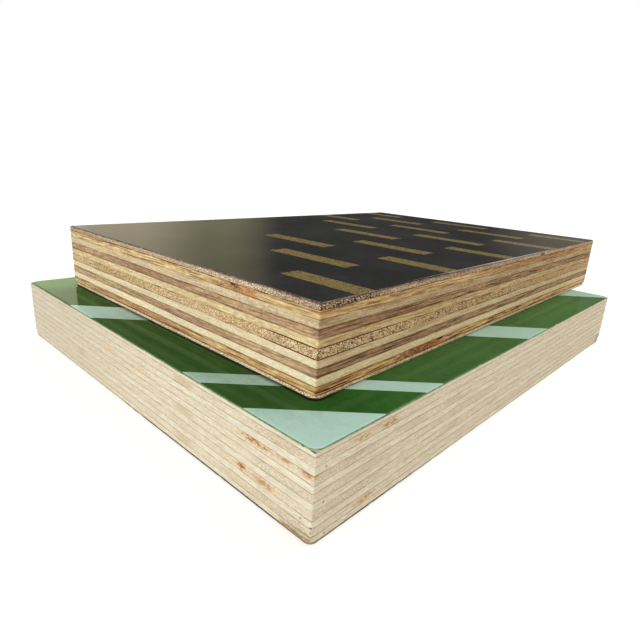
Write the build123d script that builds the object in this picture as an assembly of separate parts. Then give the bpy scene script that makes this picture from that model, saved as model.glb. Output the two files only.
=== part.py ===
from build123d import *
import os

# Two sawn pieces of film-faced plywood, lying one on the other.
# Each sheet is a hot-pressed stack: a film on top, eleven veneers whose grain turns a quarter each time,
# and a film on the back. The sheets were sawn square after pressing, so every veneer has the same outline.
# The arrises were then eased by hand, which set the films back from the sawn edge and rounded their corners.
# Handling has knocked the corners of each back veneer round, and those of the film that covers it.
# Millimetres, +Z up. The origin is at the middle of the lower sheet's underside. X runs along its short side
# and Y along its long side.

# Lower sheet: its sawn outline
LOWER_WIDTH = 127.0
LOWER_LENGTH = 157.0

# Lower sheet: veneers and film, as pressed
LOWER_FACE_VENEER = 0.8
LOWER_CROSSBAND = 1.75
LOWER_LONGBAND = 1.5
LOWER_BACK_VENEER = 1.2
LOWER_FILM = 0.3
LOWER_BACK_FILM = 0.45

# Lower sheet: how far the eased edges go
LOWER_FILM_SETBACK = 0.1
LOWER_FILM_CORNER = 2.0
LOWER_FILM_ARRIS = 0.2
LOWER_BACK_SETBACK = 0.1
LOWER_BACK_CORNER = 1.3

# Upper sheet: its sawn outline
UPPER_WIDTH = 106.0
UPPER_LENGTH = 161.0

# Upper sheet: veneers and film, as pressed
UPPER_FACE_VENEER = 1.15
UPPER_OUTER_CROSSBAND = 1.75
UPPER_LONGBAND = 1.7
UPPER_INNER_CROSSBAND = 1.85
UPPER_CENTRE_VENEER = 2.0
UPPER_BACK_VENEER = 0.85
UPPER_FILM = 0.2
UPPER_BACK_FILM = 0.2

# Upper sheet: how far the eased edges go
UPPER_FILM_SETBACK = 0.15
UPPER_FILM_CORNER = 0.6
UPPER_FILM_ARRIS = 0.1
UPPER_BACK_SETBACK = 0.15
UPPER_BACK_CORNER = 2.0

# Upper sheet: where it lies on the lower one, with its turn in degrees
UPPER_SHIFT_X = -1.7
UPPER_SHIFT_Y = 12.7
UPPER_TURN = 0.65

# Corners in plan that the saw left on the veneers
SAWN_CORNER = 0.2

# The most of a film's thickness that its rounded arris may take
ARRIS_LIMIT_SHARE = 0.8

# Lay-ups from the top face down to the back, balanced about the centre veneer
LOWER_LAYUP = [
    ("ply_01_face", LOWER_FACE_VENEER),
    ("ply_02_crossband", LOWER_CROSSBAND),
    ("ply_03_longband", LOWER_LONGBAND),
    ("ply_04_crossband", LOWER_CROSSBAND),
    ("ply_05_longband", LOWER_LONGBAND),
    ("ply_06_centre", LOWER_CROSSBAND),
    ("ply_07_longband", LOWER_LONGBAND),
    ("ply_08_crossband", LOWER_CROSSBAND),
    ("ply_09_longband", LOWER_LONGBAND),
    ("ply_10_crossband", LOWER_CROSSBAND),
    ("ply_11_back", LOWER_BACK_VENEER),
]
UPPER_LAYUP = [
    ("ply_01_face", UPPER_FACE_VENEER),
    ("ply_02_crossband", UPPER_OUTER_CROSSBAND),
    ("ply_03_longband", UPPER_LONGBAND),
    ("ply_04_crossband", UPPER_INNER_CROSSBAND),
    ("ply_05_longband", UPPER_LONGBAND),
    ("ply_06_centre", UPPER_CENTRE_VENEER),
    ("ply_07_longband", UPPER_LONGBAND),
    ("ply_08_crossband", UPPER_INNER_CROSSBAND),
    ("ply_09_longband", UPPER_LONGBAND),
    ("ply_10_crossband", UPPER_OUTER_CROSSBAND),
    ("ply_11_back", UPPER_BACK_VENEER),
]


def veneer(width, length, thickness, corner):
    """One veneer, sawn to the sheet's outline, with its underside at zero height."""
    return extrude(RectangleRounded(width, length, corner), thickness)


def back_film(width, length, thickness, setback, corner):
    """The film under a sheet, as round at its corners as the back veneer that it covers."""
    outline = RectangleRounded(width - 2 * setback, length - 2 * setback, corner)
    return extrude(outline, thickness)


def top_film(width, length, thickness, setback, corner, arris):
    """The film on a sheet, set back from the sawn edge and rounded along its top arris."""
    outline = RectangleRounded(width - 2 * setback, length - 2 * setback, corner)
    sheet = extrude(outline, thickness)
    rim = sheet.faces().sort_by(Axis.Z)[-1].edges()
    return fillet(rim, min(arris, ARRIS_LIMIT_SHARE * thickness))


def press_sheet(layup, width, length, top, back):
    """All the pieces of one sheet, from its back film up, and the sheet's thickness.

    The top film is given by its thickness, setback, corner and arris.
    The back film is given by its thickness, setback and corner.
    """
    back_thickness, back_setback, back_corner = back
    pieces = {"back_film": back_film(width, length, back_thickness, back_setback, back_corner)}
    height = back_thickness
    back_name = layup[-1][0]
    for name, thickness in reversed(layup):
        ply_corner = back_corner if name == back_name else SAWN_CORNER
        pieces[name] = Pos(0, 0, height) * veneer(width, length, thickness, ply_corner)
        height += thickness
    top_thickness, top_setback, top_corner, top_arris = top
    film = top_film(width, length, top_thickness, top_setback, top_corner, top_arris)
    pieces["top_film"] = Pos(0, 0, height) * film
    return pieces, height + top_thickness


def stack_sheets():
    """Both sheets in place, as a dictionary of node name to solid."""
    lower, lower_thickness = press_sheet(
        LOWER_LAYUP,
        LOWER_WIDTH,
        LOWER_LENGTH,
        (LOWER_FILM, LOWER_FILM_SETBACK, LOWER_FILM_CORNER, LOWER_FILM_ARRIS),
        (LOWER_BACK_FILM, LOWER_BACK_SETBACK, LOWER_BACK_CORNER),
    )
    upper, upper_thickness = press_sheet(
        UPPER_LAYUP,
        UPPER_WIDTH,
        UPPER_LENGTH,
        (UPPER_FILM, UPPER_FILM_SETBACK, UPPER_FILM_CORNER, UPPER_FILM_ARRIS),
        (UPPER_BACK_FILM, UPPER_BACK_SETBACK, UPPER_BACK_CORNER),
    )
    seat = Pos(UPPER_SHIFT_X, UPPER_SHIFT_Y, lower_thickness) * Rot(0, 0, UPPER_TURN)
    nodes = {f"lower_{name}": piece for name, piece in lower.items()}
    nodes.update({f"upper_{name}": seat * piece for name, piece in upper.items()})
    print(f"lower sheet {lower_thickness:.2f} mm thick, upper sheet {upper_thickness:.2f} mm thick")
    return nodes


os.makedirs("parts", exist_ok=True)
for node, solid in stack_sheets().items():
    export_step(solid, f"parts/{node}.step")
    print(f"{node}: {solid.volume:.0f} mm3")
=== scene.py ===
# %% [markdown]
# Two sawn pieces of film-faced plywood lie one on the other. A sheet like this is a stack of thin peeled
# veneers, glued under heat with their grain turned a quarter at every layer, and faced with a plastic film
# on both sides. The saw lays the whole stack bare, so the edges are the part that people look at. This
# lesson dresses the CAD solids: every veneer and film becomes its own mesh, with glue lines that waver and
# edges that the saw has marked. The frame is loaded first, because all sizes come from it.

# %% Load the frame
import math
from collections import namedtuple
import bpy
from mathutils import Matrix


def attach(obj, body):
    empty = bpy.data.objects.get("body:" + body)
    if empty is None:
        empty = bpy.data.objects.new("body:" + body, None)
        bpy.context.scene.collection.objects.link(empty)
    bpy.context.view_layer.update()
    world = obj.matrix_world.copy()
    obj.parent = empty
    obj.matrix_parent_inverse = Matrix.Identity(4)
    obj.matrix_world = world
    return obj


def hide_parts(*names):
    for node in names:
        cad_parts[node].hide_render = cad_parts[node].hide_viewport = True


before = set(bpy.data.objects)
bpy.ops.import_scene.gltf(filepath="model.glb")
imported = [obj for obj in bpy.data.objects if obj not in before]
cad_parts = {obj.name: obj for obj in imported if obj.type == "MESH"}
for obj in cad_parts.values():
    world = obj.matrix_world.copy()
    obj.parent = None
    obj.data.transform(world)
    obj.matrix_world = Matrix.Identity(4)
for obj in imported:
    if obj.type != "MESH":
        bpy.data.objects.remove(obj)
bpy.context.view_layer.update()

from types import SimpleNamespace

import bpy
from mathutils import Matrix, Vector

MM = 0.001

# %% [markdown]
# Each layer is a rectangle with rounded corners, lying flat, perhaps turned a little. Its place could be
# typed in again here, but then two files would have to agree. It is safer to read it back from the CAD
# mesh: the largest wall that faces +X gives the turn, the points give the size, and what the wall lacks of
# the full length is the corner.

# %% Measure the layers
UP = Vector((0, 0, 1))
FACES_RIGHT = 0.9
SAME_PLANE = 0.99999


def span(places, axis):
    """The lowest and highest reach of some points along an axis."""
    reach = [place.dot(axis) for place in places]
    return min(reach), max(reach)


def measure(node):
    """Size and place of one layer in metres, read from its CAD mesh."""
    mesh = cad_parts[node].data
    walls = [face for face in mesh.polygons if face.normal.x > FACES_RIGHT]
    normal = max(walls, key=lambda face: face.area).normal
    sideways, lengthways = Vector((normal.x, normal.y, 0)), Vector((-normal.y, normal.x, 0))
    flat = [face for face in walls if face.normal.dot(normal) > SAME_PLANE]
    wall = [mesh.vertices[i].co for face in flat for i in face.vertices]
    points = [vertex.co for vertex in mesh.vertices]
    (left, right), (front, rear) = span(points, sideways), span(points, lengthways)
    bottom, top = span(points, UP)
    straight = span(wall, lengthways)
    return SimpleNamespace(
        width=right - left,
        length=rear - front,
        corner=(rear - front - (straight[1] - straight[0])) / 2,
        bottom=bottom,
        top=top,
        arris=top - span(wall, UP)[1],
        turn=math.atan2(normal.y, normal.x),
        centre=sideways * (left + right) / 2 + lengthways * (front + rear) / 2,
    )


def halves(node):
    """Half the width, half the length and the corner of a layer, in millimetres."""
    size = layers[node]
    return size.width / 2 / MM, size.length / 2 / MM, size.corner / MM


layers = {node: measure(node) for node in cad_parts}
for node in ("lower_top_film", "upper_ply_06_centre"):
    print(node, [round(value, 2) for value in halves(node)], "mm, turned by",
          round(math.degrees(layers[node].turn), 2), "degrees")

# %% [markdown]
# Node trees grow long when every link is written out, so a few helpers keep them readable. One adds a node
# and fills or links its sockets. A field is a value in such a tree: a plus, minus or times between fields
# adds a Math node, so that a formula in the script still reads as one. All of it works in Geometry Nodes
# and in shaders.

# %% Node helpers


class Field:
    """A value in a node tree. Sums, differences, products and quotients of it become Math nodes."""

    def __init__(self, tree, socket):
        self.tree = tree
        self.socket = socket

    def __add__(self, other):
        return maths("ADD", self, other)

    def __sub__(self, other):
        return maths("SUBTRACT", self, other)

    def __rsub__(self, other):
        return maths("SUBTRACT", other, self)

    def __mul__(self, other):
        return maths("MULTIPLY", self, other)

    def __truediv__(self, other):
        return maths("DIVIDE", self, other)

    def __mod__(self, other):
        return maths("FLOORED_MODULO", self, other)

    __radd__, __rmul__ = __add__, __mul__


def connect(node, inputs):
    """Fills or links the inputs of a node, which are named or counted."""
    for key, value in inputs.items():
        if isinstance(value, Field):
            value = value.socket
        if isinstance(value, bpy.types.NodeSocket):
            node.id_data.links.new(value, node.inputs[key])
        else:
            node.inputs[key].default_value = value


def new_node(tree, kind, inputs=None, **settings):
    """Adds a node, sets its options and connects its inputs."""
    node = tree.nodes.new(kind)
    for name, value in settings.items():
        setattr(node, name, value)
    connect(node, inputs or {})
    return node


def field(tree, kind, inputs=None, output=0, **settings):
    """Adds a node and hands back one of its outputs."""
    return Field(tree, new_node(tree, kind, inputs, **settings).outputs[output])


def worked_out(kind, values, output=0, **settings):
    """Adds a node to the tree of the first field among some values, which fill its inputs in turn."""
    tree = next(value.tree for value in values if isinstance(value, Field))
    return field(tree, kind, dict(enumerate(values)), output, **settings)


def maths(operation, *values):
    """The result of one Math node."""
    return worked_out("ShaderNodeMath", values, operation=operation)


def vectors(operation, *values):
    """The result of one Vector Math node: a number where it measures, and otherwise a vector."""
    output = "Value" if operation in ("DISTANCE", "LENGTH", "DOT_PRODUCT") else "Vector"
    return worked_out("ShaderNodeVectorMath", values, output, operation=operation)


def vector(*values):
    """A vector from its three parts."""
    return worked_out("ShaderNodeCombineXYZ", values)


def parts(place):
    """The x, y and z of a vector."""
    split = new_node(place.tree, "ShaderNodeSeparateXYZ", {0: place})
    return [Field(place.tree, part) for part in split.outputs]


def band(value, low, high):
    """0 below low, 1 above high, and a smooth rise between them; low may be the larger one."""
    return worked_out("ShaderNodeMapRange", (value, low, high), interpolation_type="SMOOTHSTEP")


print("helpers ready")

# %% [markdown]
# Nearly all that is uneven on this stack comes from noise: waves, torn fibres, streaks, pores, stains. A
# noise is written down as how many features it has per millimetre along the edge and across the veneer, a
# shift of the seed, the detail, and the limits between which it rises from 0 to 1, where it has them.

# %% Noise
Noise = namedtuple("Noise", "along across shift detail limits", defaults=(0.0, 2.0, None))
NOISE_ROUGHNESS = 0.6
PER_MM = (1 / MM,) * 3


def grain(place, noise, seed=0.0):
    """Noise from 0 to 1 at a place in millimetres."""
    stretched = vectors("MULTIPLY", place, (noise.along, noise.along, noise.across))
    inputs = {
        "Vector": stretched, "W": seed + noise.shift, "Scale": 1.0, "Detail": noise.detail,
        "Roughness": NOISE_ROUGHNESS,
    }
    value = field(place.tree, "ShaderNodeTexNoise", inputs, noise_dimensions="4D")
    return band(value, *noise.limits) if noise.limits else value


def swing(place, noise, seed=0.0):
    """Noise that swings to both sides of nothing, from -0.5 to 0.5."""
    return grain(place, noise, seed) - 0.5


def finer(noise, across, along=1.0):
    """The same noise with smaller features."""
    return noise._replace(along=noise.along * along, across=noise.across * across)


print("a noise is given by", ", ".join(Noise._fields))

# %% [markdown]
# A veneer follows a rule: a rounded rectangle, drawn up to a thickness, with two faces that waver. So one
# Geometry Nodes tree makes all twenty-six layers, and only its inputs differ. The outline comes first. A
# resampled curve would cut its corners, so each straight run is divided by itself: its length over the
# wanted spacing gives the cuts.

# %% Layer tree: inputs and outline
NUMBERS = (
    "Width", "Length", "Corner", "Bottom", "Top", "Arris", "Turn", "Spacing", "Cap Share", "Wave Below",
    "Wave Above", "Seed Below", "Seed Above", "Relief", "Nibble", "Corner Wear", "Seed",
)
LAYER_INPUTS = {**dict.fromkeys(NUMBERS, "Float"), "Centre": "Vector", "Rows": "Int", "Finish": "Material"}
CORNER_POINTS = 5

layer = bpy.data.node_groups.new("pressed_layer", "GeometryNodeTree")
layer.is_modifier = True
identifiers = {}
for name, kind in LAYER_INPUTS.items():
    socket = layer.interface.new_socket(name, in_out="INPUT", socket_type=f"NodeSocket{kind}")
    identifiers[name] = socket.identifier
layer.interface.new_socket("Layer", in_out="OUTPUT", socket_type="NodeSocketGeometry")
group_input = layer.nodes.new("NodeGroupInput")
given = {name: Field(layer, group_input.outputs[name]) for name in LAYER_INPUTS}


def step(kind, inputs=None, output=0, **settings):
    """Adds a step to the layer tree and hands back one of its outputs."""
    return field(layer, f"GeometryNode{kind}", inputs, output, **settings)


rectangle = step("CurvePrimitiveQuadrilateral", {"Width": given["Width"], "Height": given["Length"]})
rounded = step(
    "FilletCurve", {"Curve": rectangle, "Count": CORNER_POINTS, "Radius": given["Corner"]}, mode="POLY")
here = step("InputPosition")
next_point = step("OffsetPointInCurve", {"Offset": 1}, "Point Index")
there = step("FieldAtIndex", {"Value": here, "Index": next_point}, data_type="FLOAT_VECTOR", domain="POINT")
cuts = maths("FLOOR", vectors("DISTANCE", here, there) / given["Spacing"])
outline = step("SubdivideCurve", {"Curve": rounded, "Cuts": cuts})
face = step("FillCurve", {"Curve": outline}, mode="NGONS")
print("layer tree has", len(identifiers), "inputs and", len(layer.nodes), "nodes")

# %% [markdown]
# The filled outline is drawn up in rows, because a wall of one tall quad could neither bend nor wear. A
# repeat zone does this: each turn extrudes the face that looks up. Both caps then get a narrow rim. Only
# the rim follows the wavering glue line, and the wide middle stays flat, so neighbouring layers never cut
# through each other.

# %% Layer tree: walls and caps
LOOKS_UP = 0.5
WELD_DISTANCE = 1e-7


def rimmed(mesh, chosen):
    """Gives the chosen faces a narrow rim, and marks the points of what is left as the middle."""
    doubled = {"Mesh": mesh, "Selection": chosen, "Offset Scale": 0.0}
    ring = new_node(layer, "GeometryNodeExtrudeMesh", doubled, mode="FACES").outputs
    marked = step(
        "StoreNamedAttribute", {"Geometry": ring["Mesh"], "Name": "middle", "Value": ring["Top"]},
        data_type="BOOLEAN", domain="POINT",
    )
    narrowed = {"Geometry": marked, "Selection": ring["Top"], "Scale": given["Cap Share"]}
    return step("ScaleElements", narrowed, domain="FACE")


thickness = given["Top"] - given["Bottom"]
normal = step("InputNormal")
upper_face = maths("GREATER_THAN", parts(normal)[2], LOOKS_UP)

zone_start = layer.nodes.new("GeometryNodeRepeatInput")
zone_end = layer.nodes.new("GeometryNodeRepeatOutput")
zone_start.pair_with_output(zone_end)
connect(zone_start, {"Iterations": given["Rows"], "Geometry": face})
row = {
    "Mesh": zone_start.outputs["Geometry"], "Selection": upper_face, "Offset": (0, 0, 1),
    "Offset Scale": thickness / given["Rows"],
}
connect(zone_end, {"Geometry": step("ExtrudeMesh", row, "Mesh", mode="FACES")})

top_and_walls = rimmed(zone_end.outputs["Geometry"], upper_face)
underside = step("FlipFaces", {"Mesh": rimmed(face, True)})
both = layer.nodes.new("GeometryNodeJoinGeometry")
for shell in (underside, top_and_walls):
    connect(both, {0: shell})
closed = step("MergeByDistance", {"Geometry": both.outputs[0], "Distance": WELD_DISTANCE})
print("walls and caps added:", len(layer.nodes), "nodes")

# %% [markdown]
# Peeled veneers vary in thickness and give under the press, so no glue line is quite straight. Each glue
# line has a seed of its own, and the layers above and below it use the same one, so their faces meet
# without a gap. The height across the layer, from 0 to 1, is stored as an attribute: the finish draws the
# glue line with it.

# %% Layer tree: wavering glue lines
GLUE_WAVES = ((Noise(0.02, 0.0, detail=1.0), 1.5), (Noise(0.11, 0.0, detail=1.0), 0.6))

x, y, z = parts(here)
rim = 1.0 - step("InputNamedAttribute", {"Name": "middle"}, data_type="BOOLEAN")
share_up = z / thickness
place_mm = vectors("MULTIPLY", vector(x, y, z + given["Bottom"]), PER_MM)


def wave(seed, amount):
    """How far a glue line strays from its level, in metres."""
    strays = [swing(place_mm, noise, seed) * weight for noise, weight in GLUE_WAVES]
    return sum(strays) * amount * rim


low = given["Bottom"] + wave(given["Seed Below"], given["Wave Below"])
high = given["Top"] + wave(given["Seed Above"], given["Wave Above"])
level = (high - low) * share_up + low
across_layer = {"Geometry": closed, "Name": "across", "Value": share_up}
labelled = step("StoreNamedAttribute", across_layer, data_type="FLOAT", domain="POINT")
print("glue lines added:", len(layer.nodes), "nodes")

# %% [markdown]
# The saw leaves its own marks. Fibres tear out and leave the wall a few hundredths of a millimetre low,
# corners wear round, and a film is nibbled where the teeth came through. All of it is a depth, pushed
# inwards along the wall's own direction, never outwards, so the layer stays inside its CAD solid. A film's
# rounded arris is a quarter circle.

# %% Layer tree: what the saw left
CORNER_REACH = 1.6 * MM
TORN_FIBRES = Noise(0.7, 1.1, detail=3.0)
BITTEN_RIM = Noise(0.45, 0.0, limits=(0.5, 0.75))
KNOCKED_CORNER = Noise(0.3, 0.55, limits=(0.42, 0.7))

torn, bitten, knocked = (
    grain(place_mm, noise, given["Seed"]) for noise in (TORN_FIBRES, BITTEN_RIM, KNOCKED_CORNER))
from_sides = [given[side] * 0.5 - maths("ABSOLUTE", way) for side, way in (("Width", x), ("Length", y))]
cornered = band(maths("MAXIMUM", *from_sides), CORNER_REACH, 0.0)

arris = given["Arris"]
over = maths("MAXIMUM", arris - (1.0 - share_up) * thickness, 0.0)
rounding = arris - maths("SQRT", maths("MAXIMUM", arris * arris - over * over, 0.0))
wear = torn * given["Relief"] + bitten * given["Nibble"] + cornered * knocked * given["Corner Wear"]
outwards = vectors("NORMALIZE", vectors("MULTIPLY", normal, (1, 1, 0)))
push = vectors("MULTIPLY", outwards, (rounding + wear) * rim * -1.0)
worn_place = vectors("ADD", vector(x, y, level), push)
worn = step("SetPosition", {"Geometry": labelled, "Position": worn_place})
print("saw marks added:", len(layer.nodes), "nodes")

# %% [markdown]
# The last nodes finish the layer: smooth shading with sharp arrises, the turn and the place of its sheet,
# and the material. Then a small function sets the inputs, evaluates the tree once, and keeps only the plain
# mesh.

# %% Layer tree: finish, and the function that presses a layer
SHARP_ANGLE = math.radians(35)

smooth = step("SetShadeSmooth", {"Geometry": worn, "Shade Smooth": True}, domain="FACE")
is_sharp = maths("GREATER_THAN", step("InputMeshEdgeAngle", output="Unsigned Angle"), SHARP_ANGLE)
sharp_edges = {"Geometry": smooth, "Selection": is_sharp, "Shade Smooth": False}
sharpened = step("SetShadeSmooth", sharp_edges, domain="EDGE")
cleaned = step("RemoveAttribute", {"Geometry": sharpened, "Name": "middle"})
turned = vector(0.0, 0.0, given["Turn"])
placed = step("Transform", {"Geometry": cleaned, "Translation": given["Centre"], "Rotation": turned})
realized = step("RealizeInstances", {"Geometry": placed})
finished = step("SetMaterial", {"Geometry": realized, "Material": given["Finish"]})
connect(layer.nodes.new("NodeGroupOutput"), {0: finished})


def put(name, data):
    """A new object in the scene."""
    thing = bpy.data.objects.new(name, data)
    bpy.context.scene.collection.objects.link(thing)
    return thing


def press(node, finish, inputs):
    """Makes the mesh of one layer, in place of its CAD node."""
    sizes = {name.title(): value for name, value in vars(layers[node]).items()}
    piece = put(f"{node}_piece", bpy.data.meshes.new(node))
    modifier = piece.modifiers.new("layer", "NODES")
    modifier.node_group = layer
    for name, value in {**sizes, **inputs, "Finish": finish}.items():
        modifier[identifiers[name]] = value
    evaluated = piece.evaluated_get(bpy.context.evaluated_depsgraph_get())
    piece.data = bpy.data.meshes.new_from_object(evaluated)
    piece.modifiers.clear()
    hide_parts(node)
    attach(piece, "root")
    return piece


print("layer tree finished:", len(layer.nodes), "nodes")

# %% [markdown]
# Now the finishes. Wood on a sawn edge is several things at once: broad shade, streaks that run with the
# layer, and hair-fine fibres. A picture would show them, but noise that is stretched along the edge does it
# too, has no seams and goes all the way round. The stretch is the same for both directions, since the
# layers lie flat. Only the strength of the streaks differs: the saw cuts one pair of walls along the grain
# and the other across it.

# %% Colours and places
LEAN = 0.9
MIX_FACTOR, MIX_UNDER, MIX_OVER, MIX_RESULT = 0, 6, 7, 2  # The sockets of a Mix node that mixes colours.


def srgb(red, green, blue):
    """A colour on the 0 to 255 scale, as the linear values that the sockets take."""
    levels = [level / 255 for level in (red, green, blue)]
    return tuple(v / 12.92 if v <= 0.04045 else ((v + 0.055) / 1.055) ** 2.4 for v in levels) + (1.0,)


def tint(amount, under, over, blend="MIX"):
    """Lays one linear colour over another."""
    tree = next(value.tree for value in (amount, under, over) if isinstance(value, Field))
    inputs = {MIX_FACTOR: amount, MIX_UNDER: under, MIX_OVER: over}
    return field(tree, "ShaderNodeMix", inputs, MIX_RESULT, data_type="RGBA", blend_type=blend)


def new_material(name):
    """A new material, with its tree and its shader."""
    material = bpy.data.materials.new(name)
    material.use_nodes = True
    return material, material.node_tree, material.node_tree.nodes["Principled BSDF"]


def object_place(tree):
    """Object coordinates, in metres."""
    return field(tree, "ShaderNodeTexCoord", output="Object")


def own_place(tree, node):
    """Millimetres from the middle of a layer, along its own width and length."""
    size = layers[node]
    own = {"Vector": object_place(tree), "Location": size.centre, "Rotation": (0, 0, size.turn)}
    return vectors("MULTIPLY", field(tree, "ShaderNodeMapping", own, vector_type="TEXTURE"), PER_MM)


def height_across(tree):
    """The stored height across a layer, from 0 at its underside to 1 at its top."""
    return field(tree, "ShaderNodeAttribute", output="Fac", attribute_name="across")


def leaning(place):
    """Shears the place, so that upright strokes lean away from the near corner on both faces."""
    return vectors("ADD", place, vectors("MULTIPLY", (-LEAN, LEAN, 0), parts(place)[2]))


print("cream at 230, 218, 190 is", [round(v, 3) for v in srgb(230, 218, 190)])

# %% Wood tones
DRIFT = 1.1
FINE_SHARE = 0.68
TONE_LIMITS = (0.4, 0.6)
RISE, BROAD, FINE = Noise(0.04, 0.0, 3.9), Noise(0.022, 0.35), Noise(0.6, 2.4, 0.7, 4.0)
STREAKS = {
    "streak": Noise(0.07, 1.5, 1.3, 2.5, (0.53, 0.6)),
    "gleam": Noise(0.06, 1.2, 2.1, 2.5, (0.53, 0.63)),
    "thread": Noise(0.1, 2.5, 3.4, 2.5, (0.51, 0.59)),
}
HAIR = Noise(1.0, 1.0, 2.6, limits=(0.38, 0.62))
HAIR_SHADE, HAIR_LIGHT = srgb(150, 140, 130), srgb(255, 255, 255)


def wood_tones(place, look, seed, at_side):
    """Broad shade, streaks, threads and fibres of a veneer, which rise and sink slowly as grain does."""
    front_gain, side_gain = look["gains"]
    gain = at_side * (side_gain - front_gain) + front_gain
    rise = vector(0.0, 0.0, swing(place, RISE, seed) * DRIFT)
    place = vectors("ADD", place, rise)
    fine = grain(place, finer(FINE, look["fineness"]), seed)
    shade = fine * FINE_SHARE + grain(place, BROAD, seed) * (1 - FINE_SHARE)
    colour = tint(band(shade, *TONE_LIMITS), srgb(*look["pale"]), srgb(*look["deep"]))
    for kind, noise in STREAKS.items():
        lines = grain(place, finer(noise, look["fineness"]), seed)
        colour = tint(lines * look[f"{kind}s"] * gain, colour, srgb(*look[kind]))
    along, across = look["hair"]
    hair = grain(leaning(place), finer(HAIR, across, along), seed)
    return tint(look["fibres"], colour, tint(hair, HAIR_SHADE, HAIR_LIGHT), "MULTIPLY")


print(len(STREAKS), "kinds of streaks")

# %% [markdown]
# Where the saw crosses the grain, it tears the fibres into short leaning strokes, and the walls of the torn
# chips show as a dark net. Near one corner of this stack the net is bold on one face and fine on the other.
# So a look lists its nets, each with a colour, a mesh in chips per millimetre, a wall as a share of a chip,
# and a strength. A net lies loosely all round, which Voronoi cells and slow noise give, in full at its
# patches and nowhere at its bare places. These are a face, a distance from the near corner and a reach.

# %% Flecks
Net = namedtuple("Net", "colour mesh wall strength loose patches bare", defaults=((0.0, 0.3), (), ()))
FLECKS = {"tear": Noise(1.8, 0.8, 3.1, 3.0, (0.47, 0.59)), "chip": Noise(1.8, 1.0, 4.7, 2.0, (0.54, 0.64))}
PATCHY = Noise(0.016, 0.0, 5.2, limits=(0.5, 0.68))
PATCH_CORE = 0.55
UNEVEN, UNEVEN_SHIFT, WALL_CORE = 0.5, 5.9, 0.3


def edge_point(node, face, from_corner, lift=0.0, inset=0.0):
    """A place on the front or the right wall of a layer, in millimetres.

    It lies so far from the near corner, so far above the middle of the wall, and so far in from it.
    """
    size = layers[node]
    half_width, half_length, _ = halves(node)
    step_along = (-from_corner, inset, 0) if face == "front" else (-inset, from_corner, 0)
    corner = Vector((half_width, -half_length, 0))
    spot = size.centre / MM + Matrix.Rotation(size.turn, 3, "Z") @ (corner + Vector(step_along))
    return Vector((spot.x, spot.y, (size.bottom + size.top) / 2 / MM + lift))


def patch_at(place, at_side, node, face, from_corner, reach):
    """1 round a place on one wall of a veneer, 0 further away and on the other wall."""
    away = vectors("DISTANCE", place, edge_point(node, face, from_corner))
    facing = at_side if face == "right" else 1.0 - at_side
    return band(away, reach, reach * PATCH_CORE) * facing


def torn_net(place, net, seed):
    """The walls between torn chips."""
    along, across = net.mesh
    stretched = vectors("MULTIPLY", place, (along, along, across))
    moved = vectors("ADD", stretched, (seed, seed * 2, seed * 3))
    cells = {"Vector": moved, "Scale": 1.0}
    from_wall = field(place.tree, "ShaderNodeTexVoronoi", cells, "Distance", feature="DISTANCE_TO_EDGE")
    uneven = swing(place, Noise(along, across, UNEVEN_SHIFT), seed) * UNEVEN
    return band(uneven + from_wall, net.wall, net.wall * WALL_CORE)


def flecked(place, colour, look, seed, node, at_side):
    """Torn fibres, pale chips and dark nets. Returns the colour and the nets' cover for the bump."""
    sheared = leaning(place)
    for kind, noise in FLECKS.items():
        flecks = grain(sheared, finer(noise, look["fleck_scale"], look["fleck_scale"]), seed)
        colour = tint(flecks * look[f"{kind}s"], colour, srgb(*look[kind]))
    patchy = grain(place, PATCHY, seed)
    dark = 0.0
    for count, net in enumerate(look["nets"]):
        least, most = net.loose
        spread = patchy * (most - least) + least
        for patch in net.patches:
            spread = maths("MAXIMUM", patch_at(place, at_side, node, *patch), spread)
        for patch in net.bare:
            spread = (1.0 - patch_at(place, at_side, node, *patch)) * spread
        cover = torn_net(sheared, net, seed + count) * spread * net.strength
        colour = tint(cover, colour, srgb(*net.colour))
        dark = maths("MAXIMUM", cover, dark)
    return colour, dark


print("flecks lean by", round(math.degrees(math.atan(LEAN))), "degrees")

# %% [markdown]
# The glue is a dark resin, squeezed into a line about a tenth of a millimetre thick on each side. It soaks
# into some veneers and leaves them with dark borders. The stored height gives the distance to both faces,
# and slow noise along the edge makes a line thin out and come back, as it does where the press had less
# grip. A seam is a place on one face where the line is full.

# %% Glue lines
BORDER_WIDTH = 0.5
LINE_CORE = 0.5
JAGGED, GRIP = Noise(1.4, 2.5, 0.8, 3.0), Noise(0.14, 0.0, 0.0, 5.0)
SOAKED = Noise(0.06, 1.2, 0.5, 4.0, (0.38, 0.6))


def glued(place, colour, look, seeds, node, at_side):
    """Dark borders and glue lines along both faces of a veneer."""
    glue = srgb(*look["glue"])
    whole = (layers[node].top - layers[node].bottom) / MM
    from_below = height_across(place.tree) * whole
    distances = {"below": from_below, "above": whole - from_below}
    border = band(maths("MINIMUM", *distances.values()), BORDER_WIDTH, 0.0) * look["border"]
    colour = tint(border * grain(place, SOAKED, seeds["below"]), colour, glue)
    jagged = swing(place, JAGGED, seeds["below"]) * look["jag"]
    width, thin = look["glue_width"], look["glue_thin"]
    for side, distance in distances.items():
        strength = look[f"glue_{side}"]
        grip = grain(place, GRIP._replace(limits=look["grip"]), seeds[side])
        line = band(jagged + distance, width, width * LINE_CORE)
        held = grip * (strength * (1 - thin)) + strength * thin
        for seam in look[f"seams_{side}"]:
            held = maths("MAXIMUM", held, patch_at(place, at_side, node, *seam))
        colour = tint(line * held, colour, glue)
    return colour


print("borders", BORDER_WIDTH, "mm wide at most")

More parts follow.
